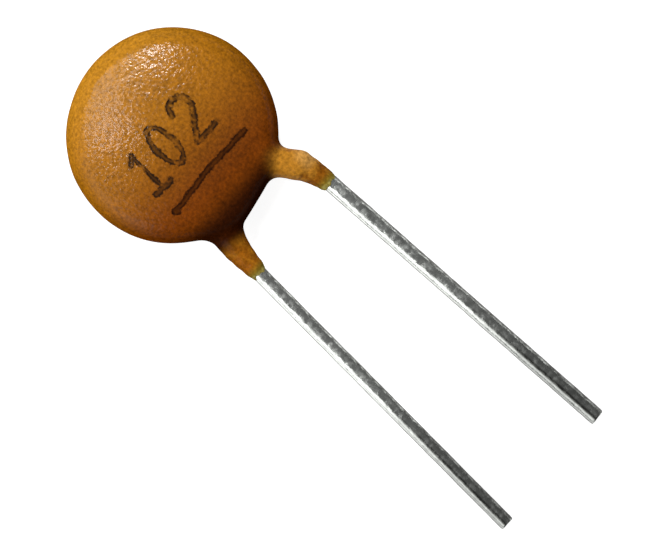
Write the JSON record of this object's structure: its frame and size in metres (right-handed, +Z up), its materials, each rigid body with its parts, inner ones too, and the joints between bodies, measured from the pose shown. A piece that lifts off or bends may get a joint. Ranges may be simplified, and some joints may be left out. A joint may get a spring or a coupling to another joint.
{
  "type": "ceramic disc capacitor",
  "caption": "Round dip-coated ceramic disc capacitor with a printed value on one face and straight radial wire leads.",
  "frame": {"origin": "under the middle of the part's box, on the surface that it lies on", "axes": "+X along the leads, from the disc toward the lead tips; +Y toward the lead that is soldered to the printed face's side; +Z up, out of the printed face"},
  "size_m": [0.0248, 0.0086, 0.0032],
  "materials": {
    "resin_coat": "dipped resin, satin, with a fine pebbled skin",
    "ceramic": "unglazed fired ceramic",
    "silver_film": "fired silver, matt",
    "tinned_wire": "tinned wire, slightly uneven",
    "solder": "soft solder"
  },
  "bodies": {
    "root": {"resin_coat": "resin_coat", "ceramic_disc": "ceramic", "front_electrode": "silver_film", "back_electrode": "silver_film", "front_lead_wire": "tinned_wire", "back_lead_wire": "tinned_wire", "front_solder_joint": "solder", "back_solder_joint": "solder"}
  },
  "joints": []
}
